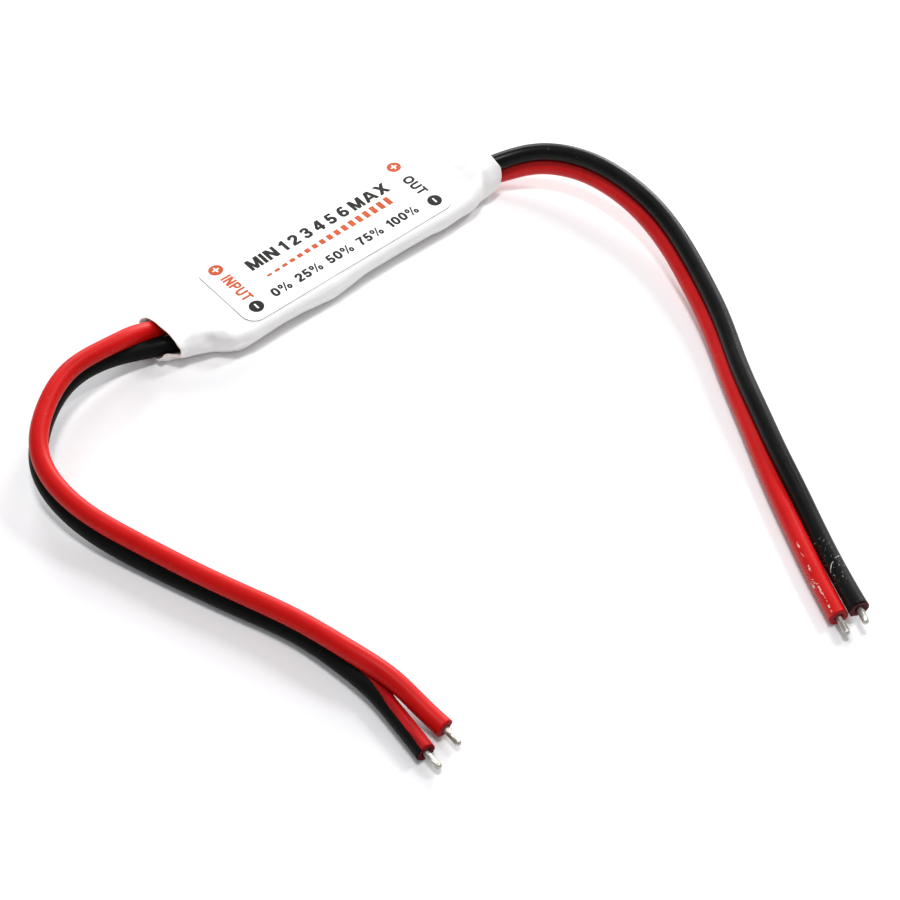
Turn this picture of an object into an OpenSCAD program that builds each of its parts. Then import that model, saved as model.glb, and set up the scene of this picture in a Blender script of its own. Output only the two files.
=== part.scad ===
// In-line controller for LED strip: a small circuit board in a shrunk sleeve,
// with a bonded red and black lead at each end.
// Origin: middle of the underside of the sleeve. X runs from the input lead to the
// output lead, Y away from the viewer of the printed side, Z up. Millimetres.

/* [Sleeve] */
// Overall length of the shrunk sleeve
sleeve_len = 44.7; // [44.3:0.1:46]
// Width of the sleeve over the board
sleeve_w = 11.6; // [11.4:0.1:12.6]
// Height of the sleeve over the board
sleeve_h = 3.5; // [3.4:0.1:4.2]
// Wall thickness after shrinking
sleeve_wall = 0.25; // [0.15:0.05:0.3]
// Height of the mouth at the input end
mouth_in_h = 4.0; // [3.9:0.1:4.4]
// Height of the mouth at the output end, where the two cores stand on edge
mouth_out_h = 4.9; // [4.9:0.1:5.4]

/* [Label] */
// Length of the printed label
label_len = 28.5; // [24:0.5:29]
// Width of the printed label
label_w = 10.8; // [8:0.1:11]
// Thickness of the label
label_t = 0.1; // [0.05:0.01:0.2]
// Corner radius of the label
label_r = 1.6; // [0.5:0.1:3]
// Offset of the label from the middle of the sleeve
label_x = 0.35; // [0:0.05:0.5]

/* [Circuit board] */
// Length of the board
board_len = 29.2; // [28.8:0.1:29.6]
// Width of the board
board_w = 9.2; // [9:0.1:9.4]
// Thickness of the board
board_t = 0.8; // [0.6:0.1:0.8]
// Height of the top face of the board
board_top = 1.7; // [1.65:0.01:1.72]
// Thickness of the copper lands
land_t = 0.05; // [0.03:0.01:0.07]

/* [Leads] */
// Outside diameter of one insulated core
core_d = 1.9; // [1.6:0.05:1.9]
// Diameter of the tinned conductor
conductor_d = 0.7; // [0.5:0.05:0.72]
// Length of conductor left bare at the free ends
bare_len = 2.2; // [1:0.1:6]
// Number of rings along each core
core_rings = 19; // [16:1:24]

/* [Hidden] */
$fn = 32;

core_r = core_d / 2;
cond_r = conductor_d / 2;
pitch = core_d + 0.04;      // centre distance of the two cores where they are bonded
land = board_top + land_t;  // height on which the parts stand
pad_x = 13.0;               // lead lands, from the middle of the board
pad_y = 2.4;
pad_z = 2.1;                // axis of the bare conductor over its land

// Middle line of each pair: [x, y, lift of the lower core off the surface, angle of
// the line from the red core to the black one, distance between the cores].
// Angle 0 has the black core on the right of the direction of travel, 90 has it on top.
route_in = [
    [-16, 0, 1.15, 180, 4.8], [-18.5, 0.5, 0.6, 185, 3.4], [-21.5, 2, 0, 195, 2.2],
    [-25.5, 2, 0.7, 280, pitch], [-31.5, 2, 2, 280, pitch], [-37, -1.5, 2, 280, pitch],
    [-41, -6, 1.4, 280, pitch], [-41, -13, 0.5, 280, pitch], [-39, -19, 0, 290, pitch],
    [-37, -25, 0, 280, pitch], [-35, -30.5, 0, 280, pitch], [-32.5, -36.5, 0, 275, pitch],
    [-31.5, -42, 0.2, 285, pitch], [-30.5, -46.5, 0.1, 315, 2.04], [-30.5, -50, 0.1, 360, 2.3],
    [-30.5, -53.5, 0, 360, 2.8]];
route_out = [
    [16, 0, 1.15, 0, 4.8], [18, -0.5, 0.6, 10, 3.6], [19.5, -1.5, 0.3, 40, 2.4],
    [21.5, -3, 0.6, 95, 2], [26, -5, 1.8, 95, pitch], [29, -10.5, 2.4, 100, pitch],
    [29.5, -17, 2.3, 105, pitch], [29, -22.5, 1.6, 115, pitch], [27, -28.5, 0.8, 115, pitch],
    [24, -35.5, 0.2, 120, pitch], [20.5, -41, 0, 115, pitch], [18, -46, 0, 120, pitch],
    [15, -51.5, 0, 130, pitch], [12.5, -57, 0, 160, pitch], [9.5, -63, 0, 160, 2],
    [7, -69, 0, 155, 2.1]];

// ---- smooth curve through the neighbourhood of a list of points ----
function weights(t) = [pow(1 - t, 3), 3*pow(t, 3) - 6*t*t + 4, -3*pow(t, 3) + 3*t*t + 3*t + 1, pow(t, 3)] / 6;
function slopes(t) = [-pow(1 - t, 2), 3*t*t - 4*t, -3*t*t + 2*t + 1, t*t] / 2;
function extended(c) = concat([2*c[0] - c[1]], c, [2*c[len(c) - 1] - c[len(c) - 2]]);
function blend4(e, i, w) = e[i]*w[0] + e[i + 1]*w[1] + e[i + 2]*w[2] + e[i + 3]*w[3];
function unit(v) = v / norm(v);

// Point of one core of a pair; sign is -1 for red and 1 for black
function core_point(e, u, sign) =
    let (n = len(e) - 3, i = min(floor(u), n - 1), t = u - i,
         q = blend4(e, i, weights(t)), d = blend4(e, i, slopes(t)),
         f = unit([d[0], d[1]]), h = q[4] / 2, a = q[3])
    [q[0] + sign*h*cos(a)*f[1], q[1] - sign*h*cos(a)*f[0],
     core_r + q[2] + h*abs(sin(a)) + sign*h*sin(a)];
function core_path(route, sign) =
    let (e = extended(route), n = len(route) - 1)
    [for (k = [0:core_rings - 1]) core_point(e, k*n/(core_rings - 1), sign)];

// ---- tube swept along a path, solid when bore is 0 ----
function path_dir(p, k) = unit(p[min(k + 1, len(p) - 1)] - p[max(k - 1, 0)]);
function ring(p, k, r, sides) =
    let (t = path_dir(p, k), a = unit(cross(t, [0, 0, 1])), b = cross(a, t))
    [for (j = [0:sides - 1]) let (w = (j + 0.5)*360/sides) p[k] + r*cos(w)*a + r*sin(w)*b];
function band(base, n, sides, flip) =
    [for (k = [0:n - 2], j = [0:sides - 1], h = [0, 1])
        let (a = base + k*sides + j, b = base + k*sides + (j + 1) % sides,
             c = a + sides, d = b + sides)
        flip ? (h == 0 ? [a, c, b] : [b, c, d]) : (h == 0 ? [a, b, c] : [b, d, c])];

module hollow_tube(p, r, bore, sides = 8) {
    n = len(p);
    outer = [for (k = [0:n - 1]) each ring(p, k, r, sides)];
    inner = [for (k = [0:n - 1]) each ring(p, k, bore, sides)];
    m = n*sides;
    last = (n - 1)*sides;
    ends = [for (j = [0:sides - 1], h = [0, 1]) let (i = (j + 1) % sides)
        each [h == 0 ? [j, m + j, i] : [i, m + j, m + i],
              h == 0 ? [last + j, last + i, m + last + j] : [last + i, m + last + i, m + last + j]]];
    polyhedron(points = concat(outer, inner),
        faces = concat(band(0, n, sides, false), band(m, n, sides, true), ends), convexity = 8);
}
module solid_tube(p, r, sides = 8) {
    n = len(p);
    outer = [for (k = [0:n - 1]) each ring(p, k, r, sides)];
    last = (n - 1)*sides;
    polyhedron(points = outer,
        faces = concat(band(0, n, sides, false),
            [[for (j = [0:sides - 1]) sides - 1 - j]], [[for (j = [0:sides - 1]) last + j]]), convexity = 8);
}
// A round bar from a to b
module bar(a, b, r) {
    v = b - a;
    translate(a) rotate([0, acos(v[2]/norm(v)), atan2(v[1], v[0])]) cylinder(r = r, h = norm(v));
}

// ---- sleeve: sections from the input mouth to the output mouth ----
// [x, near side, far side, height, height of the widest line, upper roundness, lower roundness, end slant]
half = sleeve_len / 2;
hw = sleeve_w / 2;
sections = [
    [-half + 1.3, -2.7, 4.9, mouth_in_h, 2.1, 3, 2.6, -1.3],
    [-20.4, -2.9, 4.9, mouth_in_h - 0.02, 2.1, 3, 2.6, -0.9],
    [-19.4, -3.4, 5.0, mouth_in_h - 0.1, 2.0, 3.2, 2.6, -0.4],
    [-18.4, -4.1, 5.1, mouth_in_h - 0.25, 1.9, 3.6, 2.6, 0],
    [-17.4, -4.8, 5.4, sleeve_h + 0.1, 1.8, 4.2, 2.6, 0],
    [-16.4, -5.4, 5.7, sleeve_h, 1.75, 5, 2.6, 0],
    [-15.4, -hw + 0.15, hw - 0.05, sleeve_h, 1.75, 5.5, 2.6, 0],
    [-14.2, -hw, hw, sleeve_h, 1.75, 6, 2.6, 0],
    [0, -hw, hw, sleeve_h, 1.75, 6, 2.6, 0],
    [15.2, -hw, hw, sleeve_h, 1.75, 6, 2.6, 0],
    [16.4, -hw + 0.1, hw - 0.1, sleeve_h + 0.05, 1.8, 5.5, 2.6, 0],
    [17.4, -hw + 0.3, hw - 0.5, sleeve_h + 0.35, 1.85, 5, 2.6, 0],
    [18.4, -hw + 0.7, hw - 1.2, sleeve_h + 0.75, 2, 4.6, 2.6, 0],
    [19.4, -hw + 0.85, hw - 1.8, sleeve_h + 1.1, 2.1, 4.6, 2.6, 0],
    [20.4, -hw + 0.95, hw - 2.3, mouth_out_h, 2.3, 5.4, 2.6, 0.3],
    [half - 0.7, -hw + 0.9, hw - 2.6, mouth_out_h + 0.2, 2.5, 6, 2.6, 0.7]];
ring_n = 32;
function signed_pow(v, e) = (v < 0 ? -1 : 1)*pow(abs(v), e);
function section_yz(s, inset) =
    let (near = s[1] + inset, far = s[2] - inset, yc = (near + far)/2, w = (far - near)/2,
         zc = s[4], up = s[3] - inset - zc, down = zc + 0.1 - inset)
    [for (k = [0:ring_n - 1]) let (a = (k + 0.5)*360/ring_n, c = cos(a), d = sin(a),
        e = d >= 0 ? s[5] : s[6])
        [yc + w*signed_pow(c, 2/e), max(inset, zc + (d >= 0 ? up : down)*signed_pow(d, 2/e))]];
// the mouths are cut on a slant: the input mouth's lower lip and the output mouth's upper lip stand out
function lip(s, z) = s[7] < 0 ? s[7]*max(0, min(1, (2.2 - z)/2)) : s[7]*max(0, min(1, (z - 1.6)/3));
function section_points(s, inset) = [for (q = section_yz(s, inset)) [s[0] + lip(s, q[1]), q[0], q[1]]];

module heat_shrink_sleeve() color([0.95, 0.95, 0.93]) {
    n = len(sections);
    m = n*ring_n;
    last = (n - 1)*ring_n;
    outer = [for (s = sections) each section_points(s, 0)];
    inner = [for (s = sections) each section_points(s, sleeve_wall)];
    ends = [for (j = [0:ring_n - 1]) let (i = (j + 1) % ring_n)
        each [[j, i, m + j], [i, m + i, m + j],
              [last + j, m + last + j, last + i], [last + i, m + last + j, m + last + i]]];
    polyhedron(points = concat(outer, inner),
        faces = concat(band(0, n, ring_n, true), band(m, n, ring_n, false), ends), convexity = 10);
}

module label() color([0.97, 0.97, 0.96]) {
    s = sections[8];
    big = [s[0], s[1] - label_t, s[2] + label_t, s[3] + label_t, s[4], s[5], s[6], 0];
    intersection() {
        translate([label_x - label_len/2, 0, 0]) rotate([90, 0, 90]) linear_extrude(height = label_len)
            difference() {
                polygon(section_yz(big, 0));
                polygon(section_yz(s, 0));
            }
        translate([label_x, 0, 2]) linear_extrude(height = 4) union() {
            square([label_len - 2*label_r, label_w], center = true);
            square([label_len, label_w - 2*label_r], center = true);
            for (i = [-1, 1], j = [-1, 1])
                translate([i*(label_len/2 - label_r), j*(label_w/2 - label_r)]) circle(r = label_r);
        }
    }
}

// ---- circuit board ----
vias = [[-6.6, 3.9], [-6.6, -3.9], [0.6, 3.6], [0.6, -3.6], [6.4, -3.8], [5.2, 4.1], [-11, 0], [11.2, 0]];
antenna_from = [-5.4, 4.05];
antenna_to = [7.2, 4.05];
module circuit_board() color([0.10, 0.36, 0.22])
    difference() {
        translate([-board_len/2, -board_w/2, board_top - board_t]) cube([board_len, board_w, board_t]);
        for (v = vias) translate([v[0], v[1], 0]) cylinder(r = 0.2, h = 3);
        translate([antenna_to[0], antenna_to[1], 0]) cylinder(r = 0.3, h = 3);
        for (i = [-1, 1]) translate([i*board_len/2, 0, 0]) cylinder(r = 0.8, h = 3);
    }

module block(x, y, z, l, w, h) translate([x - l/2, y - w/2, z]) cube([l, w, h]);
// [x, y, length, width] of every land
so8_x = [-1.905, -0.635, 0.635, 1.905];
mcu = [-3.4, -0.4];
rf = [3.4, -0.9];
fet = [9.2, 0];
reg = [-9.6, -2.2];
dio = [-9.3, 2.4];
xtal = [3.2, 2.65];
caps = [[-12.0, 0, 90], [-6.4, 1.4, 90], [-6.4, -2.2, 90], [0.4, 1.2, 90], [6.2, 1.6, 90]];
resistors = [[-9.4, 0.3, 0], [0.4, -1.6, 90], [5.8, -2.7, 90], [-0.4, 3.9, 0], [12.6, 0.0, 90]];
chip_l = 1.6;
chip_end = 0.3;
module copper_lands() color([0.80, 0.55, 0.25]) {
    for (i = [-1, 1], j = [-1, 1]) block(i*pad_x, j*pad_y, board_top, 2.6, 2.6, land_t);
    for (x = so8_x, j = [-1, 1]) block(mcu[0] + x, mcu[1] + j*2.75, board_top, 0.6, 1.1, land_t);
    for (x = so8_x, j = [-1, 1]) block(rf[0] + x*0.51, rf[1] + j*2.2, board_top, 0.4, 0.9, land_t);
    for (x = so8_x, j = [-1, 1]) block(fet[0] + x, fet[1] + j*2.8, board_top, 0.7, 0.9, land_t);
    for (q = [[-0.95, -1.05], [0.95, -1.05], [0, 1.05]]) block(reg[0] + q[0], reg[1] + q[1], board_top, 0.7, 0.8, land_t);
    for (i = [-1, 1]) block(dio[0] + i*1.65, dio[1], board_top, 0.9, 1.1, land_t);
    for (c = concat(caps, resistors), i = [-1, 1]) translate([c[0], c[1], 0]) rotate([0, 0, c[2]])
        block(i*0.7, 0, board_top, 0.7, 0.8, land_t);
    for (i = [-1, 1], j = [-1, 1]) block(xtal[0] + i*0.85, xtal[1] + j*0.6, board_top, 0.7, 0.5, land_t);
}

// ---- packages ----
module package(x, y, l, w, h, lift = 0.1) translate([x, y, land + lift])
    difference() {
        translate([-l/2, -w/2, 0]) cube([l, w, h]);
        translate([-l/2 + 0.45, -w/2 + 0.45, h - 0.06]) cylinder(r = 0.22, h = 1);
    }
// one bent lead: out of the package side, down, and a foot on the land
module gull(reach, out, width, t = 0.14)
    translate([width/2, 0, 0]) rotate([90, 0, -90]) linear_extrude(height = width)
        polygon([[0, out + t], [0, out], [reach*0.3, out], [reach*0.45, 0], [reach, 0], [reach, t],
                 [reach*0.45 + t, t], [reach*0.3 + t, out + t]]);
module lead_rows(c, xs, w, reach, out, width)
    for (x = xs) {
        translate([c[0] + x, c[1] - w/2, land]) gull(reach, out, width);
        translate([c[0] + x, c[1] + w/2, land]) rotate([0, 0, 180]) gull(reach, out, width);
    }
module microcontroller() color([0.12, 0.12, 0.13]) package(mcu[0], mcu[1], 4.9, 3.9, 1.25);
module microcontroller_leads() color([0.75, 0.75, 0.76]) lead_rows(mcu, so8_x, 3.9, 1.05, 0.6, 0.42);
module rf_receiver() color([0.12, 0.12, 0.13]) package(rf[0], rf[1], 3, 3, 0.95);
module rf_receiver_leads() color([0.75, 0.75, 0.76]) lead_rows(rf, so8_x*0.51, 3, 0.95, 0.45, 0.3);
module power_mosfet() color([0.12, 0.12, 0.13]) package(fet[0], fet[1], 4.9, 4.7, 1.0, 0);
module mosfet_leads() color([0.75, 0.75, 0.76])
    for (x = so8_x, j = [-1, 1]) block(fet[0] + x, fet[1] + j*2.65, land, 0.42, 0.6, 0.25);
module voltage_regulator() color([0.12, 0.12, 0.13]) package(reg[0], reg[1], 2.9, 1.3, 1.0);
module regulator_leads() color([0.75, 0.75, 0.76]) {
    for (x = [-0.95, 0.95]) translate([reg[0] + x, reg[1] - 0.65, land]) gull(0.55, 0.4, 0.4, 0.12);
    translate([reg[0], reg[1] + 0.65, land]) rotate([0, 0, 180]) gull(0.55, 0.4, 0.4, 0.12);
}
module input_diode() color([0.12, 0.12, 0.13]) block(dio[0], dio[1], land + 0.2, 2.8, 1.8, 0.9);
module diode_leads() color([0.75, 0.75, 0.76])
    for (i = [-1, 1]) block(dio[0] + i*1.55, dio[1], land, 0.9, 0.9, 0.2);
module receiver_crystal() color([0.80, 0.80, 0.80]) {
    block(xtal[0], xtal[1], land, 2.5, 1.8, 0.3);
    block(xtal[0], xtal[1], land + 0.3, 2.3, 1.6, 0.35);
}
module chip_body(c, h) translate([c[0], c[1], 0]) rotate([0, 0, c[2]])
    block(0, 0, land, chip_l - 2*chip_end, 0.8, h);
module chip_ends(c, h) translate([c[0], c[1], 0]) rotate([0, 0, c[2]])
    for (i = [-1, 1]) block(i*(chip_l - chip_end)/2, 0, land, chip_end, 0.8, h);
module ceramic_capacitors() color([0.72, 0.60, 0.44]) for (c = caps) chip_body(c, 0.8);
module capacitor_terminals() color([0.78, 0.78, 0.78]) for (c = caps) chip_ends(c, 0.8);
module chip_resistors() color([0.10, 0.10, 0.12]) for (c = resistors) chip_body(c, 0.45);
module resistor_terminals() color([0.78, 0.78, 0.78]) for (c = resistors) chip_ends(c, 0.45);

// thin insulated whip along the far edge of the board, its end turned down into the board
module antenna_wire() color([0.55, 0.12, 0.10]) {
    r = 0.25;
    z = board_top + 0.75;
    bend = 0.5;
    translate([antenna_from[0], antenna_from[1], z]) rotate([0, 90, 0])
        cylinder(r = r, h = antenna_to[0] - bend - antenna_from[0]);
    translate([antenna_to[0] - bend, antenna_to[1], z - bend]) rotate([90, 0, 0])
        rotate_extrude(angle = 90) translate([bend, 0]) circle(r = r);
    translate([antenna_to[0], antenna_to[1], board_top - board_t + 0.1])
        cylinder(r = r, h = z - bend - board_top + board_t - 0.1);
}

// ---- leads ----
in_red = core_path(route_in, -1);
in_black = core_path(route_in, 1);
out_red = core_path(route_out, -1);
out_black = core_path(route_out, 1);
function pad_end(p) = [(p[0][0] < 0 ? -1 : 1)*(pad_x - 0.9), (p[0][1] < 0 ? -1 : 1)*pad_y, pad_z];
function tip_dir(p) = unit(p[len(p) - 1] - p[len(p) - 2]);

module solder_joint(p) difference() {
    translate([(p[0][0] < 0 ? -1 : 1)*(pad_x + 0.05), (p[0][1] < 0 ? -1 : 1)*pad_y, land])
        rotate_extrude() polygon(concat([[0, 0]], [for (a = [0:9:90]) [1.2*pow(cos(a), 0.8), 1.05*sin(a)]]));
    bar(pad_end(p) - 0.6*unit(p[0] - pad_end(p)), p[0], cond_r + 0.02);
}
module input_solder_joints() color([0.76, 0.77, 0.78]) { solder_joint(in_red); solder_joint(in_black); }
module output_solder_joints() color([0.76, 0.77, 0.78]) { solder_joint(out_red); solder_joint(out_black); }

module insulation(p) hollow_tube(p, core_r, cond_r + 0.08);
module conductor(p) {
    n = len(p);
    tip = p[n - 1];
    solid_tube([for (k = [0:n - 1]) k < n - 1 ? p[k] : tip - 0.4*tip_dir(p)], cond_r + 0.01);
    bar(tip - 0.6*tip_dir(p), tip + bare_len*tip_dir(p), cond_r);
    bar(pad_end(p), p[0], cond_r);
    translate(p[0]) sphere(r = cond_r, $fn = 24);
}
module red_input_insulation() color([0.80, 0.06, 0.07]) insulation(in_red);
module black_input_insulation() color([0.09, 0.10, 0.09]) insulation(in_black);
module red_output_insulation() color([0.80, 0.06, 0.07]) insulation(out_red);
module black_output_insulation() color([0.09, 0.10, 0.09]) insulation(out_black);
module red_input_conductor() color([0.78, 0.77, 0.74]) conductor(in_red);
module black_input_conductor() color([0.78, 0.77, 0.74]) conductor(in_black);
module red_output_conductor() color([0.78, 0.77, 0.74]) conductor(out_red);
module black_output_conductor() color([0.78, 0.77, 0.74]) conductor(out_black);

heat_shrink_sleeve();
label();
circuit_board();
copper_lands();
microcontroller();
microcontroller_leads();
rf_receiver();
rf_receiver_leads();
receiver_crystal();
power_mosfet();
mosfet_leads();
voltage_regulator();
regulator_leads();
input_diode();
diode_leads();
ceramic_capacitors();
capacitor_terminals();
chip_resistors();
resistor_terminals();
antenna_wire();
input_solder_joints();
output_solder_joints();
red_input_insulation();
black_input_insulation();
red_output_insulation();
black_output_insulation();
red_input_conductor();
black_input_conductor();
red_output_conductor();
black_output_conductor();
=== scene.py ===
import math
import bpy
import numpy as np
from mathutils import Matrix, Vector


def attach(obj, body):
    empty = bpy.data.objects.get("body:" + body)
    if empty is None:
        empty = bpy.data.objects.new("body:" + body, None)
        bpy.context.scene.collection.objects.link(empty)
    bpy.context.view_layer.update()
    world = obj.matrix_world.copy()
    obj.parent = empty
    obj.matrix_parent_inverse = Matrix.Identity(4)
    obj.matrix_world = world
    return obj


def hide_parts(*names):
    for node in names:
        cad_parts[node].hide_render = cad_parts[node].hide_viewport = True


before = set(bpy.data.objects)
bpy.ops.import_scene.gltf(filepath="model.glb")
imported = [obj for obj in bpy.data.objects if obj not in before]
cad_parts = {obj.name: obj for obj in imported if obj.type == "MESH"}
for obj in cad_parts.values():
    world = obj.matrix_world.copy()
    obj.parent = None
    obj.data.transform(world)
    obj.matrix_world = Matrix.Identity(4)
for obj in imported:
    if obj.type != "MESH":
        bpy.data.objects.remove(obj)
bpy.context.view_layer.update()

MM = 0.001

# ------------------------------------------------------------------ small helpers


def smooth(v, a, b):
    """0 at a, 1 at b, eased at both ends."""
    t = np.clip((np.asarray(v, float) - a) / (b - a), 0, 1)
    return t * t * (3 - 2 * t)


def waves(p, size, seed, count=28):
    """Smooth random values of about -1 to 1 that change over `size` millimetres."""
    g = np.random.default_rng(seed)
    k = g.normal(size=(count, 3))
    k /= np.linalg.norm(k, axis=1)[:, None]
    k *= 2 * np.pi / size * g.uniform(0.6, 1.7, (count, 1))
    return np.sin(p @ k.T + g.uniform(0, 2 * np.pi, count)).sum(1) / math.sqrt(count) / 1.3


def hill(v, centre, width):
    return np.exp(-(((v - centre) / width) ** 2))


def through(x, xs, ys):
    """A smooth curve through the points (xs, ys) with no overshoot."""
    xs, ys = np.asarray(xs, float), np.asarray(ys, float)
    h, d = np.diff(xs), np.diff(ys) / np.diff(xs)
    m = np.zeros(len(xs))
    for i in range(1, len(xs) - 1):
        if d[i - 1] * d[i] > 0:
            w1, w2 = 2 * h[i] + h[i - 1], h[i] + 2 * h[i - 1]
            m[i] = (w1 + w2) / (w1 / d[i - 1] + w2 / d[i])
    m[0], m[-1] = d[0], d[-1]
    x = np.clip(x, xs[0], xs[-1])
    i = np.clip(np.searchsorted(xs, x) - 1, 0, len(xs) - 2)
    t = (x - xs[i]) / h[i]
    return ((2 * t**3 - 3 * t**2 + 1) * ys[i] + (t**3 - 2 * t**2 + t) * h[i] * m[i]
            + (-2 * t**3 + 3 * t**2) * ys[i + 1] + (t**3 - t**2) * h[i] * m[i + 1])


def mesh_piece(name, verts, faces, materials, attributes=None, face_material=None):
    """A smooth-shaded mesh object; verts in millimetres."""
    me = bpy.data.meshes.new(name)
    me.from_pydata((np.asarray(verts, float) * MM).tolist(), [], [list(map(int, f)) for f in faces])
    for m in materials:
        me.materials.append(m)
    me.polygons.foreach_set("use_smooth", [True] * len(me.polygons))
    if face_material is not None:
        me.polygons.foreach_set("material_index", list(map(int, face_material)))
    for key, values in (attributes or {}).items():
        values = np.asarray(values, float)
        if values.ndim == 1:
            me.attributes.new(key, "FLOAT", "POINT").data.foreach_set("value", values.astype(np.float32))
        else:
            me.attributes.new(key, "FLOAT_VECTOR", "POINT").data.foreach_set("vector", values.astype(np.float32).ravel())
    me.validate()
    me.update()
    o = bpy.data.objects.new(name, me)
    bpy.context.scene.collection.objects.link(o)
    return o


def grid_faces(rows, cols, base=0, flip=False):
    """Quads of a tube of `rows` rings of `cols` points each."""
    i, j = np.meshgrid(np.arange(rows - 1), np.arange(cols), indexing="ij")
    a = base + i * cols + j
    b = base + i * cols + (j + 1) % cols
    q = np.stack([a, b, b + cols, a + cols], -1).reshape(-1, 4)
    return q[:, ::-1] if flip else q


# ------------------------------------------------------------------ node helpers


class Surface:
    """A material with one principled shader."""

    def __init__(self, name, **sockets):
        self.material = bpy.data.materials.new(name)
        self.material.use_nodes = True
        self.tree = self.material.node_tree
        self.tree.nodes.clear()
        out = self.add("ShaderNodeOutputMaterial")
        self.shader = self.add("ShaderNodeBsdfPrincipled")
        self.link(self.shader.outputs[0], out.inputs[0])
        for k, v in sockets.items():
            self.shader.inputs[k.replace("_", " ")].default_value = v
        self.place = self.add("ShaderNodeTexCoord").outputs["Object"]

    def add(self, kind, **props):
        n = self.tree.nodes.new(kind)
        for k, v in props.items():
            setattr(n, k, v)
        return n

    def link(self, a, b):
        self.tree.links.new(a, b)

    def feed(self, socket, value):
        if hasattr(value, "is_linked"):
            self.link(value, socket)
        else:
            socket.default_value = value

    def math(self, op, a, b=0.0, c=0.0, clamp=False):
        n = self.add("ShaderNodeMath", operation=op, use_clamp=clamp)
        for s, v in zip(n.inputs, (a, b, c)):
            self.feed(s, v)
        return n.outputs[0]

    def step(self, v, a, b, lo=0.0, hi=1.0):
        n = self.add("ShaderNodeMapRange", interpolation_type="SMOOTHSTEP")
        for s, x in zip(n.inputs, (v, a, b, lo, hi)):
            self.feed(s, x)
        return n.outputs[0]

    def mix(self, f, a, b):
        n = self.add("ShaderNodeMix", data_type="RGBA")
        self.feed(n.inputs[0], f)
        for s, x in ((n.inputs[6], a), (n.inputs[7], b)):
            self.feed(s, x if hasattr(x, "is_linked") else (*x[:3], 1))
        return n.outputs[2]

    def noise(self, size_mm, detail=2.0, rough=0.5, place=None, dims="3D", distortion=0.0):
        n = self.add("ShaderNodeTexNoise", noise_dimensions=dims)
        self.link(place or self.place, n.inputs["Vector"])
        n.inputs["Scale"].default_value = (1000.0 / size_mm) if place is None else 1.0 / size_mm
        n.inputs["Detail"].default_value = detail
        n.inputs["Roughness"].default_value = rough
        n.inputs["Distortion"].default_value = distortion
        return n.outputs["Fac"]

    def cells(self, size_mm, place=None, feature="F1"):
        n = self.add("ShaderNodeTexVoronoi", feature=feature)
        self.link(place or self.place, n.inputs["Vector"])
        n.inputs["Scale"].default_value = (1000.0 / size_mm) if place is None else 1.0 / size_mm
        return n.outputs["Distance"]

    def scaled(self, sx, sy, sz, place=None):
        n = self.add("ShaderNodeVectorMath", operation="MULTIPLY")
        self.link(place or self.place, n.inputs[0])
        n.inputs[1].default_value = (sx, sy, sz)
        return n.outputs[0]

    def attribute(self, name, out="Fac"):
        return self.add("ShaderNodeAttribute", attribute_name=name).outputs[out]

    def bump(self, layers):
        """layers: (height, distance in mm), the last one on top."""
        before = None
        for height, mm in layers:
            n = self.add("ShaderNodeBump")
            n.inputs["Strength"].default_value = 1.0
            n.inputs["Distance"].default_value = mm * MM
            self.link(height, n.inputs["Height"])
            if before:
                self.link(before, n.inputs["Normal"])
            before = n.outputs[0]
        self.link(before, self.shader.inputs["Normal"])

    def color(self, v):
        self.link(v, self.shader.inputs["Base Color"])

    def rough(self, v):
        self.link(v, self.shader.inputs["Roughness"])


# ------------------------------------------------------------------ camera

cam_data = bpy.data.cameras.new("camera")
cam_data.sensor_width = 36
cam_data.lens = 76.816
cam_data.clip_start, cam_data.clip_end = 0.005, 10
camera = bpy.data.objects.new("camera", cam_data)
bpy.context.scene.collection.objects.link(camera)
camera.location = Vector((-87.53, -121.28, 147.93)) * MM
camera.rotation_mode = "QUATERNION"
camera.rotation_quaternion = (Vector((-7.22, -28.82, 0)) * MM - camera.location).to_track_quat("-Z", "Y")
bpy.context.scene.camera = camera

# ------------------------------------------------------------------ leads: the routes of the CAD model

R = 0.95         # radius of an insulated core
BORE = 0.43      # inside of the insulation
WIRE = 0.35      # radius of the tinned conductor
TIP = 0.325      # its bare strands at the free end, pressed together
PITCH = 1.94
BARE = 2.2
# [x, y, lift, angle from the red core to the black one, distance between the cores]
ROUTE_IN = [
    [-16, 0.1, 1.15, 180, 4.4], [-18.5, 0.6, 0.5, 182, 2.95], [-21.5, 1.6, 0.22, 202, 1.6],
    [-25.5, 1.8, 1.0, 280, PITCH], [-31.5, 2, 2, 280, PITCH], [-37, -1.5, 2, 280, PITCH],
    [-41, -6, 1.4, 280, PITCH], [-41, -13, 0.5, 280, PITCH], [-39, -19, 0, 290, PITCH],
    [-37, -25, 0, 280, PITCH], [-35, -30.5, 0, 280, PITCH], [-32.5, -36.5, 0, 275, PITCH],
    [-31.5, -42, 0.2, 285, PITCH], [-30.5, -46.5, 0.1, 312, 1.94], [-30.5, -50, 0.1, 352, 2.1],
    [-30.5, -53.5, 0, 360, 2.8]]
ROUTE_OUT = [
    [16, 0, 1.15, 0, 4.8], [18, -0.5, 0.6, 10, 3.6], [19.5, -1.5, 0.3, 40, 2.4],
    [21.5, -3, 0.6, 95, 2], [26, -5, 1.8, 95, PITCH], [29, -10.5, 2.4, 100, PITCH],
    [29.5, -17, 2.3, 105, PITCH], [29, -22.5, 1.6, 115, PITCH], [27, -28.5, 0.8, 115, PITCH],
    [24, -35.5, 0.2, 120, PITCH], [20.5, -41, 0, 115, PITCH], [18, -46, 0, 120, PITCH],
    [15, -51.5, 0, 130, PITCH], [12.5, -57, 0, 160, PITCH], [9.5, -63, 0, 160, 1.95],
    [7, -69, 0, 155, 2.06]]


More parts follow.
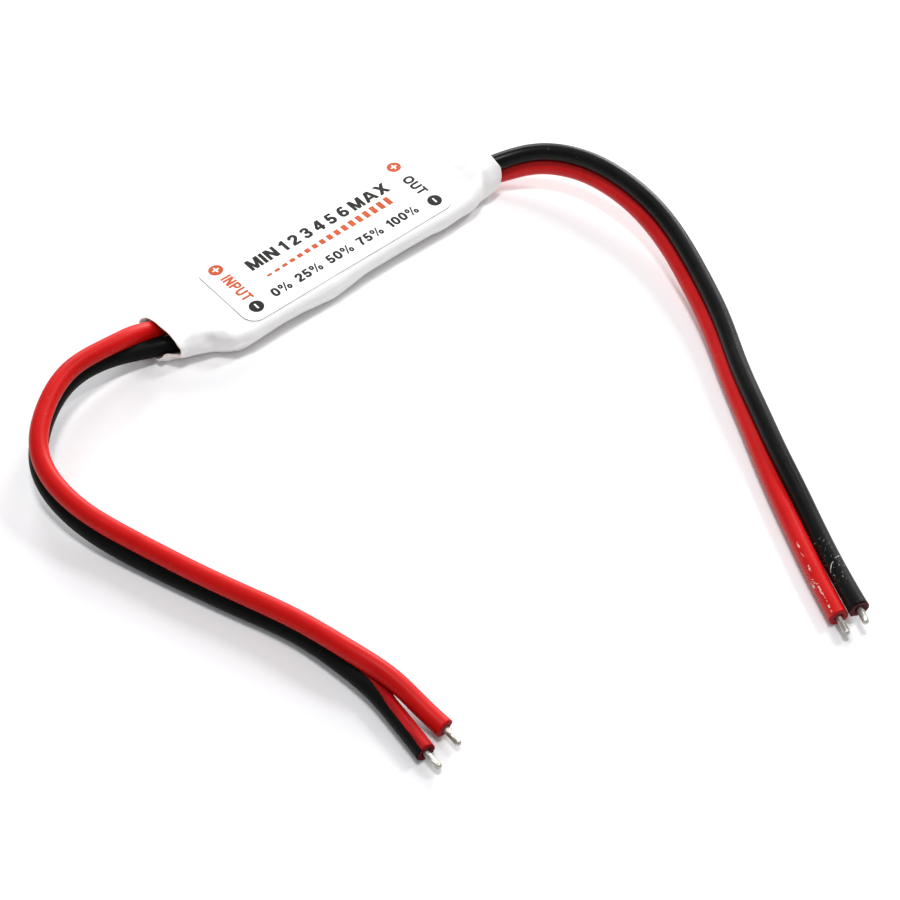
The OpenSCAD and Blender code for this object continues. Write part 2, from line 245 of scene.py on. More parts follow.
def pair(route, per=20):
    """Fine samples of one pair: both centre lines (red, black) and the pair's angle."""
    c = np.array(route, float)
    n = len(c) - 1
    e = np.vstack([2 * c[0] - c[1], c, 2 * c[-1] - c[-2]])
    u = np.arange(n * per + 1) / per
    i = np.minimum(np.floor(u).astype(int), n - 1)
    t = (u - i)[:, None]
    w = np.hstack([(1 - t) ** 3, 3 * t**3 - 6 * t**2 + 4, -3 * t**3 + 3 * t**2 + 3 * t + 1, t**3]) / 6
    d = np.hstack([-((1 - t) ** 2), 3 * t**2 - 4 * t, -3 * t**2 + 2 * t + 1, t**2]) / 2
    q = sum(w[:, k, None] * e[i + k] for k in range(4))
    s = sum(d[:, k, None] * e[i + k] for k in range(4))
    f = s[:, :2] / np.linalg.norm(s[:, :2], axis=1)[:, None]
    h, a = np.maximum(q[:, 4], 1.936) / 2, np.radians(q[:, 3])
    lines = []
    for sign in (-1, 1):
        lines.append(np.stack([
            q[:, 0] + sign * h * np.cos(a) * f[:, 1],
            q[:, 1] - sign * h * np.cos(a) * f[:, 0],
            R + q[:, 2] + h * np.abs(np.sin(a)) + sign * h * np.sin(a)], 1))
    return lines, a, f


def lengths(p):
    return np.concatenate([[0], np.cumsum(np.linalg.norm(np.diff(p, axis=0), axis=1))])


def resample(s, values, at):
    return np.stack([np.interp(at, s, values[:, k]) for k in range(values.shape[1])], 1)


def tangents(p):
    t = np.gradient(p, axis=0)
    return t / np.linalg.norm(t, axis=1)[:, None]


def make_core(route, colour, end, tip, keep_angle=None):
    """Centre line, tangents and the direction to the other core, every quarter millimetre.
    end and tip: where the insulation and the bare conductor stop."""
    lines, a, f = pair(route)
    me = 0 if colour == "red" else 1
    p = lines[me].copy()
    s = lengths(p)
    p += smooth(s, s[-1] - 11, s[-1])[:, None] * (np.array(end) - p[-1])
    s = lengths(p)
    apart = np.linalg.norm(lines[1] - lines[0], axis=1)
    ang = a.copy()
    if keep_angle is not None:
        ang = np.minimum(a, np.radians(keep_angle))
    way = np.stack([np.cos(ang) * f[:, 1], -np.cos(ang) * f[:, 0], np.sin(ang)], 1)
    if colour == "black":
        way = -way
    n = int(round(s[-1] / 0.27))
    at = np.linspace(0, s[-1], n + 1)
    p = resample(s, p, at)
    for _ in range(6):
        p[1:-1] = p[1:-1] * 0.5 + (p[:-2] + p[2:]) * 0.25
    at = lengths(p)
    t = tangents(p)
    way = resample(s, way, np.linspace(0, s[-1], n + 1))
    e1 = way - (way * t).sum(1)[:, None] * t
    e1 /= np.linalg.norm(e1, axis=1)[:, None]
    return {"p": p, "s": at, "t": t, "e1": e1, "e2": np.cross(t, e1), "tip": np.array(tip, float),
            "apart": np.interp(np.linspace(0, s[-1], n + 1), s, apart)}


CORES = {
    "red_input": make_core(ROUTE_IN, "red", (-29.13, -53.37, 0.95), (-29.19, -55.45, 0.9), 305),
    "black_input": make_core(ROUTE_IN, "black", (-31.99, -54.12, 0.95), (-31.93, -56.06, 0.8), 305),
    "red_output": make_core(ROUTE_OUT, "red", (6.24, -68.29, 0.95), (5.44, -70.10, 0.93)),
    "black_output": make_core(ROUTE_OUT, "black", (7.86, -69.21, 1.82), (7.17, -70.68, 1.66)),
}


def insulation(name, core, material, seed):
    """A real tube: round outside with the bonded web on one side, bore, and stripped ends."""
    around = 48
    phi = (np.arange(around) + 0.5) * 2 * np.pi / around
    wrapped = np.abs((phi + np.pi) % (2 * np.pi) - np.pi)
    near = 1 - smooth(wrapped, math.radians(18), math.radians(38))
    p, t, e1, e2, s = core["p"], core["t"], core["e1"], core["e2"], core["s"]
    n = len(p)
    split = smooth(core["apart"], 1.95, 2.08)
    face = np.minimum(core["apart"] / 2 - 0.002, 0.972)
    bonded = R + (face[:, None] / np.cos(np.minimum(wrapped, 0.7))[None] - R) * near[None]
    torn_flat = np.minimum(R, 0.915 / np.cos(np.minimum(wrapped, 1.2)))
    if name.startswith("black_output"):
        torn_flat = R + (1.05 / np.cos(np.minimum(wrapped, 0.7)) - R) * near
    ring_p = p[:, None] + 0 * phi[None, :, None]
    unit = np.cos(phi)[None, :, None] * e1[:, None] + np.sin(phi)[None, :, None] * e2[:, None]
    flat = (ring_p + unit * R).reshape(-1, 3)
    ragged = waves(flat, 0.7, seed + 1).reshape(n, around)
    torn = torn_flat[None] + 0.018 * ragged * (1 - smooth(wrapped, 0.35, 0.75))[None]
    r = bonded * (1 - split[:, None]) + torn * split[:, None]
    r += 0.007 * waves(flat, 9.0, seed).reshape(n, around)
    r += 0.003 * waves(np.stack([np.repeat(s, around) * 0.06, np.cos(np.tile(phi, n)) * 2, np.sin(np.tile(phi, n)) * 2], 1), 1.0, seed + 2).reshape(n, around)
    end_in = smooth(s, s[-1] - 1.2, s[-1] - 0.1)
    r *= (1 + 0.012 * end_in)[:, None]
    rings, wire, cut = [], [], []

    def put(points, ss, is_cut):
        rings.append(points)
        wire.append(np.stack([np.full(around, ss), np.cos(phi), np.sin(phi)], 1))
        cut.append(np.full(around, is_cut))

    # free end: the outer edge rounds over, the face is a little rough, the bore turns in
    def end_rings(k, out, first):
        u = unit[k]
        bite = 0.05 * waves(p[k] + u * R * 0.9, 1.1, seed + 5) + 0.03 * waves(p[k] + u * R, 0.45, seed + 6)
        steps = [(r[k] - 0.015, -0.03, 0.3), (r[k] - 0.06, 0.02, 0.8), (r[k] * 0 + 0.80, 0.035, 1.0),
                 (r[k] * 0 + 0.62, 0.02, 1.0), (r[k] * 0 + BORE + 0.05, 0.0, 1.0), (r[k] * 0 + BORE, -0.06, 1.0)]
        if first:
            steps = steps[::-1]
        for radius, push, c in steps:
            amount = push + bite * min(1.0, c)
            put(p[k] + u * np.asarray(radius)[:, None] + out * t[k] * amount[:, None], s[k], c)

    bore_rings = np.unique(np.round(np.linspace(0, n - 1, n // 4)).astype(int))[::-1]
    for k in range(n):
        put(p[k] + unit[k] * r[k][:, None], s[k], 0.0)
    end_rings(n - 1, 1, False)
    for k in bore_rings[1:-1]:
        put(p[k] + unit[k] * BORE, s[k], 1.0)
    end_rings(0, -1, True)
    verts = np.concatenate(rings)
    m = len(rings)
    faces = grid_faces(m, around)
    j = np.arange(around)
    last = (m - 1) * around
    close = np.stack([last + j, last + (j + 1) % around, (j + 1) % around, j], 1)
    return mesh_piece(name, verts, np.vstack([faces, close]), [material],
                      {"wire": np.concatenate(wire), "cut": np.concatenate(cut)})


def conductor(name, core, material, seed, twist=0.5):
    """Tinned strands from the solder joint to the bare tip."""
    p = core["p"]
    side = -1 if p[0][0] < 0 else 1
    start = np.array([side * 12.1, math.copysign(2.4, p[0][1]), 2.1])
    tip, last = core["tip"], p[-1]
    before = start + (p[0] - start) * np.linspace(0, 1, 14)[:-1, None]
    d0, gap = core["t"][-1], np.linalg.norm(tip - last)
    out = []
    for k in np.linspace(0, 1, 21)[1:]:
        out.append((1 - k) ** 2 * last + 2 * k * (1 - k) * (last + d0 * gap * 0.45) + k * k * tip)
    line = np.vstack([before, p, out])
    s = lengths(line)
    line = resample(s, line, np.linspace(0, s[-1], int(s[-1] / 0.22) + 1))
    a, b = 0, len(line)
    keep = line.copy()
    for _ in range(14):
        line[1:-1] = line[1:-1] * 0.5 + (line[:-2] + line[2:]) * 0.25
    s = lengths(line)
    free = s[-1] - gap
    w = smooth(s, free - 4, free - 2)[:, None]
    line = line * (1 - w) + keep * w
    s = lengths(line)
    extra = s[-1] - np.array([0.30, 0.18, 0.09, 0.03, 0.0])
    at = np.concatenate([np.arange(0, s[-1] - 2.6, 0.5), np.arange(s[-1] - 2.6, s[-1] - 0.34, 0.08), extra])
    line = resample(s, line, at)
    s = at
    t = tangents(line)
    ref = np.cross(t, [0, 0, 1.0])
    ref /= np.linalg.norm(ref, axis=1)[:, None]
    up = np.cross(ref, t)
    around = 36
    phi = np.arange(around) * 2 * np.pi / around
    left = s[-1] - s
    end_round = np.sqrt(np.clip(1 - (1 - np.clip(left / 0.30, 0, 1)) ** 2, 0, 1)) * 0.9 + 0.1
    end_round[left <= 0.001] = 0.30
    lump = 0.045 * smooth(left, gap + 1.0, gap - 0.2)
    rr = (WIRE + (TIP - WIRE) * smooth(left, gap + 0.6, gap - 0.1))[:, None] * (1 + lump[:, None] * np.cos(6 * (phi[None] - twist * s[:, None])))
    unit = np.cos(phi)[None, :, None] * ref[:, None] + np.sin(phi)[None, :, None] * up[:, None]
    where = (line[:, None] + unit * WIRE).reshape(-1, 3)
    rr = rr + 0.014 * waves(where, 0.8, seed).reshape(rr.shape) * smooth(left, gap + 0.5, gap)[:, None]
    rr *= end_round[:, None]
    verts = (line[:, None] + unit * rr[:, :, None]).reshape(-1, 3)
    n = len(line)
    faces = [list(f) for f in grid_faces(n, around)]
    c0, c1 = len(verts), len(verts) + 1
    verts = np.vstack([verts, line[0] - t[0] * 0.02, line[-1] + t[-1] * 0.01])
    for j in range(around):
        k = (j + 1) % around
        faces.append([c0, k, j])
        faces.append([c1, (n - 1) * around + j, (n - 1) * around + k])
    return mesh_piece(name, verts, faces, [material], {"along": np.concatenate([np.repeat(s, around), [s[0], s[-1]]])})


# ------------------------------------------------------------------ PVC and conductor materials


def pvc(name, deep, lit, shaded_cut_colour, rough, shine, marks=None):
    m = Surface(name, IOR=1.46)
    m.shader.inputs["Specular IOR Level"].default_value = shine
    w = m.attribute("wire", "Vector")
    sep = m.add("ShaderNodeSeparateXYZ")
    m.link(w, sep.inputs[0])
    s, c, d = sep.outputs
    # streaks that run along the core, mottling, and a fine grain
    streak = m.noise(1.0, 3, 0.55, m.scaled(0.09, 5.0, 5.0, w))
    mottle = m.noise(3.2, 3, 0.55)
    grain = m.noise(0.11, 2, 0.6)
    tone = m.math("ADD", m.math("MULTIPLY", streak, 0.5), m.math("MULTIPLY", mottle, 0.5))
    base = m.mix(m.step(tone, 0.3, 0.72), deep, lit)
    rough_v = m.math("ADD", m.math("MULTIPLY_ADD", mottle, 0.16, rough - 0.10), m.math("MULTIPLY", grain, 0.06))
    # handling dust: rare pale specks
    speck = m.math("MULTIPLY", m.step(m.cells(1.7), 0.055, 0.02), m.step(m.noise(6.0, 1), 0.50, 0.62))
    base = m.mix(m.math("MULTIPLY", speck, 0.35), base, (0.55, 0.5, 0.48))
    heights = [(streak, 0.010), (grain, 0.004)]
    if marks:
        base, rough_v, extra = marks(m, base, rough_v, s, c, d)
        heights += extra
    # cut end faces and bore take a darker colour: its hue is the insulation's own, the darkening is painted shade
    cut = m.attribute("cut")
    base = m.mix(m.math("MULTIPLY", cut, m.step(m.noise(0.35, 2), 0.3, 0.7, 0.75, 1.0)), base, shaded_cut_colour)
    m.color(base)
    m.rough(m.math("ADD", rough_v, m.math("MULTIPLY", cut, 0.25), clamp=True))
    m.bump(heights)
    return m.material


RED_DEEP, RED_LIT = (0.50, 0.0035, 0.0035), (0.58, 0.0055, 0.0055)
BLACK_DEEP, BLACK_LIT = (0.0018, 0.0021, 0.0018), (0.0050, 0.0056, 0.0046)
total = {k: float(v["s"][-1]) for k, v in CORES.items()}


def strip_marks(m, base, rough_v, s, c, d):
    """Red insulation torn off with the web, left on the black core of the input lead."""
    angle = m.math("ABSOLUTE", m.math("ARCTAN2", d, c))
    edge = m.math("MULTIPLY_ADD", m.noise(0.9, 2, 0.5), 0.14, -0.07)
    end = total["black_input"]
    grow = m.math("MULTIPLY", m.math("SUBTRACT", s, end - 12.8), 0.128)
    wide = m.math("ADD", m.math("MINIMUM", grow, 1.0), m.step(s, end - 2.5, end, 0.0, 0.07))
    mask = m.step(m.math("ADD", m.math("SUBTRACT", angle, wide), edge), 0.025, -0.025)
    mask = m.math("MULTIPLY", mask, m.step(s, end - 12.8, end - 11.8))
    drag = m.noise(1.0, 3, 0.55, m.scaled(0.5, 4.5, 4.5, m.attribute("wire", "Vector")))
    tone = m.mix(m.step(drag, 0.35, 0.7), (0.26, 0.0045, 0.006), (0.44, 0.007, 0.009))
    return m.mix(mask, base, tone), m.math("MULTIPLY_ADD", mask, 0.12, rough_v), [(mask, 0.03), (m.math("MULTIPLY", mask, drag), 0.03)]


def fleck_marks(m, base, rough_v, s, c, d):
    """Dashed row of cream flecks where the web tore, near the end of the red output core."""
    angle = m.math("ARCTAN2", d, c)
    end = total["red_output"]
    wander = m.math("MULTIPLY_ADD", m.noise(1.6, 2), 0.36, -0.18)
    off = m.math("ADD", m.math("SUBTRACT", angle, 1.89), wander)
    near = m.step(m.math("ABSOLUTE", off), 0.13, 0.06)
    bits = m.step(m.noise(1.0, 2, 0.5, m.scaled(1.15, 1.6, 1.6, m.attribute("wire", "Vector"))), 0.50, 0.56)
    chips = m.step(m.noise(0.24, 2, 0.6), 0.42, 0.50)
    span = m.math("MULTIPLY", m.step(s, end - 8.9, end - 8.2), m.step(s, end - 0.2, end - 0.5))
    row = m.math("MULTIPLY", m.math("MULTIPLY", near, bits), m.math("MULTIPLY", chips, span))
    blot = m.math("MULTIPLY", m.step(m.math("ABSOLUTE", m.math("SUBTRACT", s, end - 4.0)), 0.62, 0.35),
                  m.math("MULTIPLY", m.step(m.math("ABSOLUTE", m.math("SUBTRACT", angle, 2.35)), 0.42, 0.25), m.step(m.noise(0.22, 3, 0.65), 0.53, 0.60)))
    mask = m.math("ADD", row, blot, clamp=True)
    return m.mix(m.math("MULTIPLY", mask, 0.9), base, (0.80, 0.56, 0.46)), m.math("MULTIPLY_ADD", mask, 0.3, rough_v), [(mask, 0.02)]


def scuff_marks(m, base, rough_v, s, c, d):
    """Curved white scuff and small flecks near the end of the black output core."""
    angle = m.math("ARCTAN2", d, c)
    end = total["black_output"]
    turn = m.math("DIVIDE", m.math("ADD", angle, 2.64), 1.94)
    curve = m.math("MULTIPLY_ADD", m.math("MULTIPLY", turn, turn), 1.3, end - 5.7)
    near = m.step(m.math("ABSOLUTE", m.math("SUBTRACT", s, curve)), 0.11, 0.05)
    arc = m.math("MULTIPLY", near, m.math("MULTIPLY", m.step(angle, -2.78, -2.66), m.step(angle, -0.62, -0.75)))
    broken = m.step(m.noise(0.5, 2, 0.6), 0.44, 0.54)
    dots = m.math("MULTIPLY", m.step(m.noise(0.26, 3, 0.7), 0.635, 0.68), m.math("MULTIPLY", m.step(s, end - 9.6, end - 8.0), m.step(s, end - 1.8, end - 2.8)))
    mask = m.math("ADD", m.math("MULTIPLY", arc, broken), m.math("MULTIPLY", dots, 0.45), clamp=True)
    return m.mix(mask, base, (0.62, 0.60, 0.56)), m.math("MULTIPLY_ADD", mask, 0.25, rough_v), [(mask, 0.015)]


# the fourth colour of each is for the cut faces and bore: own hue, darkened as painted shade
PVC = {
    "red_input": pvc("red_input_pvc", (0.45, 0.0028, 0.0024), (0.54, 0.0046, 0.0040), (0.20, 0.006, 0.01), 0.40, 0.13),
    "black_input": pvc("black_input_pvc", BLACK_DEEP, BLACK_LIT, (0.10, 0.006, 0.008), 0.44, 0.08, strip_marks),
    "red_output": pvc("red_output_pvc", RED_DEEP, RED_LIT, (0.24, 0.006, 0.01), 0.29, 0.28, fleck_marks),
    "black_output": pvc("black_output_pvc", BLACK_DEEP, BLACK_LIT, (0.08, 0.006, 0.008), 0.32, 0.15, scuff_marks),
}


def tinned():
    m = Surface("tinned_copper_strands", Metallic=1.0)
    along = m.noise(0.5, 3, 0.6)
    fine = m.noise(0.09, 3, 0.6)
    m.color(m.mix(m.step(along, 0.35, 0.7), (0.39, 0.38, 0.34), (0.56, 0.55, 0.50)))
    m.rough(m.math("MULTIPLY_ADD", fine, 0.25, 0.30))
    m.bump([(along, 0.012), (fine, 0.006)])
    return m.material


TINNED = tinned()
for i, (name, core) in enumerate(CORES.items()):
    colour, end = name.split("_")
    tube = insulation(name + "_insulation_lead", core, PVC[name], 40 + 10 * i)
    metal = conductor(name + "_conductor_lead", core, TINNED, 90 + i)
    for piece, node, slot in ((tube, name + "_insulation", colour + "_pvc"), (metal, name + "_conductor", "tinned_copper")):
        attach(piece, "root")
        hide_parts(node)
    p, s = core["p"], core["s"]
    mouth = p[int(np.argmax(np.abs(p[:, 0]) > 21.5))]

# ------------------------------------------------------------------ sleeve

WALL = 0.25
# [x, near side, far side, height, height of the widest line, upper roundness,
#  how far the side turns in under it, roundness of that part]
SECTIONS = np.array([
    [-21.35, -2.36, 4.6, 4.03, 1.9, 3.0, 2.1, 2.1], [-20.4, -2.36, 4.7, 3.98, 1.9, 2.4, 1.8, 1.9],
    [-19.4, -2.66, 5.0, 3.9, 1.85, 2.1, 1.5, 1.6], [-18.4, -3.14, 5.15, 3.75, 1.85, 2.4, 1.3, 1.4],
    [-17.4, -3.66, 5.4, 3.6, 2.0, 3.2, 1.25, 1.3], [-16.5, -4.55, 5.6, 3.5, 2.05, 4.2, 1.3, 1.2],
    [-15.8, -5.10, 5.7, 3.5, 2.1, 5, 1.35, 1.2], [-15.0, -5.27, 5.75, 3.5, 2.1, 5.5, 0.98, 1.15],
    [-13.8, -5.54, 5.8, 3.5, 2.1, 5.2, 1.25, 1.2],
    [-9.5, -5.47, 5.8, 3.5, 2.1, 5.2, 1.35, 1.2], [-7.2, -5.50, 5.8, 3.5, 2.05, 5.2, 1.3, 1.2],
    [-5.0, -5.56, 5.8, 3.5, 1.95, 5.2, 1.15, 1.35], [-3.0, -5.62, 5.8, 3.5, 1.9, 5.2, 1.05, 1.5],
    [-0.5, -5.55, 5.8, 3.5, 2.0, 5.2, 1.2, 1.35], [2, -5.46, 5.8, 3.5, 2.1, 5.2, 1.35, 1.2],
    [6, -5.46, 5.8, 3.5, 2.1, 5.2, 1.35, 1.2],
    [10.8, -5.55, 5.8, 3.5, 2.1, 5.2, 1.35, 1.2], [12.6, -5.64, 5.8, 3.5, 2.05, 5.2, 1.25, 1.3],
    [15.2, -5.54, 5.8, 3.5, 2.05, 5.2, 1.3, 1.3],
    [16.4, -5.52, 5.7, 3.55, 2.05, 5.5, 1.4, 1.4], [17.4, -5.38, 5.3, 3.85, 2.05, 5, 1.5, 1.5],
    [18.4, -5.04, 4.6, 4.25, 2.1, 4.6, 1.6, 1.7], [19.4, -4.72, 4.0, 4.6, 2.15, 4.4, 1.7, 2.0],
    [20.4, -4.52, 3.5, 4.85, 2.2, 4.4, 1.9, 2.4], [21.45, -4.42, 3.2, 5.12, 2.3, 4.4, 2.0, 2.6]])


def at_section(x):
    return [through(x, SECTIONS[:, 0], SECTIONS[:, k]) for k in range(1, 8)]


def signed(v, e):
    return np.sign(v) * np.abs(v) ** e


def relief(x, y):
    """How far the top bulges over the parts inside, in millimetres."""
    h = 0.035 * hill(x, -3.4, 2.6) * hill(y, -0.4, 2.6) + 0.03 * hill(x, 9.2, 2.6) * hill(y, 0, 2.6)
    h += 0.025 * hill(x, 3.4, 1.8) * hill(y, -0.9, 1.8) - 0.03 * hill(x, -8.0, 2.0) * hill(y, 0.5, 3.0)
    q = np.stack([x, y, np.zeros_like(x)], -1).reshape(-1, 3)
    return h + 0.02 * waves(q, 13.0, 3).reshape(np.shape(x))


QUARTER = 44


def section(x):
    """The outer outline of the sleeve at x: points in equal steps in each quarter."""
    near, far, h, zc, up, turn, low = at_section(x)
    yc, w = (near + far) / 2, (far - near) / 2
    out = []
    for q in range(4):
        a = np.linspace(q * np.pi / 2, (q + 1) * np.pi / 2, 900)
        c, d = np.cos(a), np.sin(a)
        if q < 2:
            y, z = yc + w * signed(c, 2 / up), zc + (h - zc) * signed(d, 2 / up)
        else:
            y, z = yc + np.sign(c) * (w - turn + turn * np.abs(c) ** (2 / low)), zc - zc * np.abs(d) ** (2 / low)
            y[0 if q == 3 else -1] = yc
        s = lengths(np.stack([y, z], 1))
        at = np.linspace(0, s[-1], QUARTER + 1)[:-1]
        out.append(np.stack([np.full(QUARTER, x), np.interp(at, s, y), np.interp(at, s, z)], 1))
    return np.vstack(out)


# the lower lip of the input mouth: distance down the near side and along the underside -> how far it moves
LIP = np.array([
    [-1.4, 0.0, 0.0, 0.0], [0.0, 0.28, 0.02, 0.0], [0.9, -0.05, 0.55, 0.50], [1.8, -0.42, 0.70, 0.95], [2.7, -1.00, -0.02, 1.00],
    [3.7, -1.22, -0.62, 0.62], [5.0, -0.85, -0.30, 0.10], [6.5, -0.45, 0.0, 0.0], [8.2, -0.1, 0.0, 0.0], [20.0, 0.0, 0.0, 0.0]])


def deform(p, drop=None):
    """Local shape of the shrunk tube: slanted and curled mouths, dents, folds, ripples."""
    x, y, z = p[:, 0].copy(), p[:, 1].copy(), p[:, 2].copy()
    side = smooth(z, 0.2, 0.9)
    # top follows the parts inside
    z += relief(x, y) * smooth(z, 3.0, 3.45) * smooth(np.abs(x), 17, 15)
    # input neck, near side: pinched in under the corner of the board
    y += 0.66 * hill(x, -17.45, 1.1) * smooth(-y, 1.8, 3.6) * hill(z, 2.45, 0.75) * side
    z -= 0.26 * hill(x, -17.2, 1.1) * hill(y, -4.1, 0.8) * smooth(z, 1.9, 3.1)
    # input neck, far side: one soft fold
    y -= 0.30 * hill(x, -18.2, 1.0) * smooth(y, 3.5, 5.0) * hill(z, 2.2, 1.0)
    # output neck: a crease from the lower corner of the board up to the rim
    crease = hill(x - 18.4 - 0.30 * (z - 1.5), 0, 0.5) * smooth(-y, 3.2, 4.6) * side
    y += 0.34 * crease
    y -= 0.16 * hill(x, 20.2, 0.9) * smooth(-y, 3.0, 4.5) * hill(z, 2.3, 1.5)
    y -= 0.22 * hill(x, 18.3, 0.8) * smooth(y, 3.0, 4.6) * hill(z, 2.4, 1.2)
    # ripples that run along the necks where the tube shrank most
    neck = smooth(np.abs(x), 16.2, 19.0)
    around = np.arctan2(z - 2, y * 0.6)
    ripple = 0.022 * np.sin(9 * around + 1.3 * x) + 0.014 * np.sin(15 * around - 0.8 * x + 1)
    y += neck * side * ripple * np.cos(around)
    z += neck * side * ripple * np.sin(around) * smooth(z, 0.2, 1.0)
    # slight unevenness of the long sides
    y += 0.045 * waves(np.stack([x, 0 * x, z * 2], 1), 9.0, 8) * smooth(np.abs(y), 3.5, 5.4) * side
    y -= 0.10 * hill(x, -3.5, 3.0) * smooth(-y, 4.0, 5.6) * side
    # the lower lip of the input mouth stands out and curls up round the black core
    if drop is not None:
        grow = smooth(-p[:, 0], 19.6, 21.35)
        dx, dy, dz = (through(drop, LIP[:, 0], LIP[:, k]) for k in (1, 2, 3))
        x += grow * dx
        y += grow**2 * dy
        under = smooth(drop, 1.6, 3.2)
        z += (grow**2 * (1 - under) + smooth(-p[:, 0], 20.65, 21.35) * under) * dz
    z -= 0.17 * np.maximum(p[:, 1] + 0.3, 0) * smooth(-p[:, 0], 17.5, 21.2) * smooth(p[:, 2], 1.0, 2.2)
    x += 0.46 * smooth(-p[:, 0], 19.2, 21.35) * smooth(p[:, 1], 4.5, 3.0) * smooth(p[:, 2], 1.5, 2.7)
    z -= 0.10 * smooth(-p[:, 0], 20.2, 21.35) * smooth(p[:, 1], 2.9, 4.3) * smooth(p[:, 2], 2.0, 3.0)
    edge = smooth(np.abs(p[:, 0]), 20.6, 21.4)
    x += 0.07 * edge * waves(np.stack([0 * x, y, z], 1), 2.6, 12)
    # output mouth: rounded rim, cut back towards the table
    right = smooth(p[:, 0], 19.6, 21.45)
    x -= 0.85 * right * smooth(z, 1.6, 0.2)
    x += 0.12 * right * hill(z, 2.7, 1.3)
    x -= 0.20 * right * smooth(z, 3.8, 4.9)
    x -= 0.08 * right
    return np.stack([x, y, np.maximum(z, 0)], 1)


def make_sleeve(material):
    xs = np.concatenate([
        np.linspace(-21.35, -20.4, 14), np.linspace(-20.4, -14.5, 42)[1:], np.linspace(-14.5, 15.5, 91)[1:], np.linspace(15.5, 21.45, 40)[1:]])
    base = np.array([section(x) for x in xs])
    n, m = base.shape[:2]
    drop = np.zeros((n, m))
    for i in range(n):
        run = lengths(base[i])
        drop[i] = run - run[2 * QUARTER]
    outer = deform(base.reshape(-1, 3), drop.ravel()).reshape(n, m, 3)
    dx = np.gradient(outer, axis=0)
    da = np.roll(outer, -1, 1) - np.roll(outer, 1, 1)
    normal = np.cross(da, dx)
    normal /= np.maximum(np.linalg.norm(normal, axis=2), 1e-9)[:, :, None]
    centre = outer.mean(1, keepdims=True)
    flip = np.sign(((outer - centre) * normal).sum(2).mean())
    normal *= flip
    for _ in range(3):
        normal = (normal * 2 + np.roll(normal, 1, 1) + np.roll(normal, -1, 1)) / 4
    normal /= np.maximum(np.linalg.norm(normal, axis=2), 1e-9)[:, :, None]
    thin = 1 - 0.35 * smooth(np.abs(xs), 20.7, 21.35)[:, None, None]
    inner = outer - WALL * thin * normal
    inner[:, :, 2] = np.maximum(inner[:, :, 2], np.minimum(WALL, outer[:, :, 2] + WALL))
    rings, rim, inside = [], [], []

    def put(q, is_rim, is_inside):
        rings.append(q)
        rim.append(np.full(m, is_rim))
        inside.append(np.full(m, is_inside))

    def lip(k, towards):
        c = (outer[k] + inner[k]) / 2
        d = outer[k] - outer[k - towards]
        d /= np.linalg.norm(d, axis=1)[:, None]
        half = (outer[k] - inner[k]) / 2
        for a, strength in ((25, 0.5), (50, 1), (75, 1), (105, 1), (130, 1), (155, 0.6)):
            a = math.radians(a)
            sa = math.sin(a) ** 0.7
            yield c + half * math.cos(a) + d * WALL * 0.25 * sa, strength

    # a closed skin: outside from the input mouth to the output mouth, back through the inside
    for k in range(n):
        put(outer[k], 0.0, 0.0)
    for q, f in lip(n - 1, 1):
        put(q, f, 0.0)
    for k in range(n - 1, -1, -1):
        put(inner[k], 0.0, 1.0)
    for q, f in list(lip(0, -1))[::-1]:
        put(q, f, 0.0)
    verts = np.concatenate(rings)
    verts[:, 2] = np.maximum(verts[:, 2], 0)
    rows = len(rings)
    faces = grid_faces(rows, m, flip=True)
    j = np.arange(m)
    last = (rows - 1) * m
    close = np.stack([last + j, last + (j + 1) % m, (j + 1) % m, j], 1)[:, ::-1]
    return mesh_piece("shrunk_sleeve", verts, np.vstack([faces, close]), [material],
                      {"rim": np.concatenate(rim), "inside": np.concatenate(inside)})


def sleeve_material():
    m = Surface("heat_shrink_white", IOR=1.46)
    m.shader.inputs["Subsurface Weight"].default_value = 0.35
    m.shader.inputs["Subsurface Radius"].default_value = (1.0, 0.95, 0.9)
    m.shader.inputs["Subsurface Scale"].default_value = 0.0007
    broad = m.noise(4.0, 3, 0.5)
    drawn = m.noise(1.0, 4, 0.6, m.scaled(1000 / 6.0, 1000 / 0.7, 1000 / 0.7))
    grain = m.noise(0.16, 3, 0.6)
    base = m.mix(m.step(broad, 0.3, 0.7), (0.89, 0.895, 0.865), (0.92, 0.925, 0.90))
    base = m.mix(m.math("MULTIPLY", m.step(m.cells(2.3), 0.045, 0.015), m.step(m.noise(7.0, 1), 0.5, 0.65)), base, (0.5, 0.48, 0.45))
    # inner wall of the tube painted darker grey: painted shade inside the tube
    base = m.mix(m.math("MULTIPLY", m.attribute("inside"), 0.5), base, (0.55, 0.53, 0.50))
    # cut rim of the mouths painted warm tan-pink: painted red light bounced from the cores onto the white wall
    base = m.mix(m.math("MULTIPLY", m.attribute("rim"), m.step(m.noise(0.9, 2), 0.2, 0.6, 0.5, 0.9)), base, (0.80, 0.60, 0.49))
    m.color(base)
    m.rough(m.math("ADD", m.math("MULTIPLY_ADD", broad, 0.18, 0.36), m.math("MULTIPLY", grain, 0.06)))
    m.bump([(drawn, 0.022), (grain, 0.006)])
    return m.material


sleeve = make_sleeve(sleeve_material())
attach(sleeve, "root")
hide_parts("heat_shrink_sleeve")

# ------------------------------------------------------------------ label

LABEL_T = 0.1
LABEL_X, LABEL_Y, LABEL_L, LABEL_W, LABEL_R = 0.475, 0.2, 28.25, 10.2, 1.6


def top_height(x, y):
    """Height of the sleeve's outside over (x, y)."""
    x, y = np.asarray(x, float), np.asarray(y, float)
    near, far, h, zc, up, turn, low = at_section(x)
    v = np.clip(np.abs((y - (near + far) / 2) / ((far - near) / 2)), 0, 0.999)
    z = zc + (h - zc) * (1 - v**up) ** (1 / up)
    return z + relief(x, y) * smooth(z, 3.0, 3.45) * smooth(np.abs(x), 17, 15)


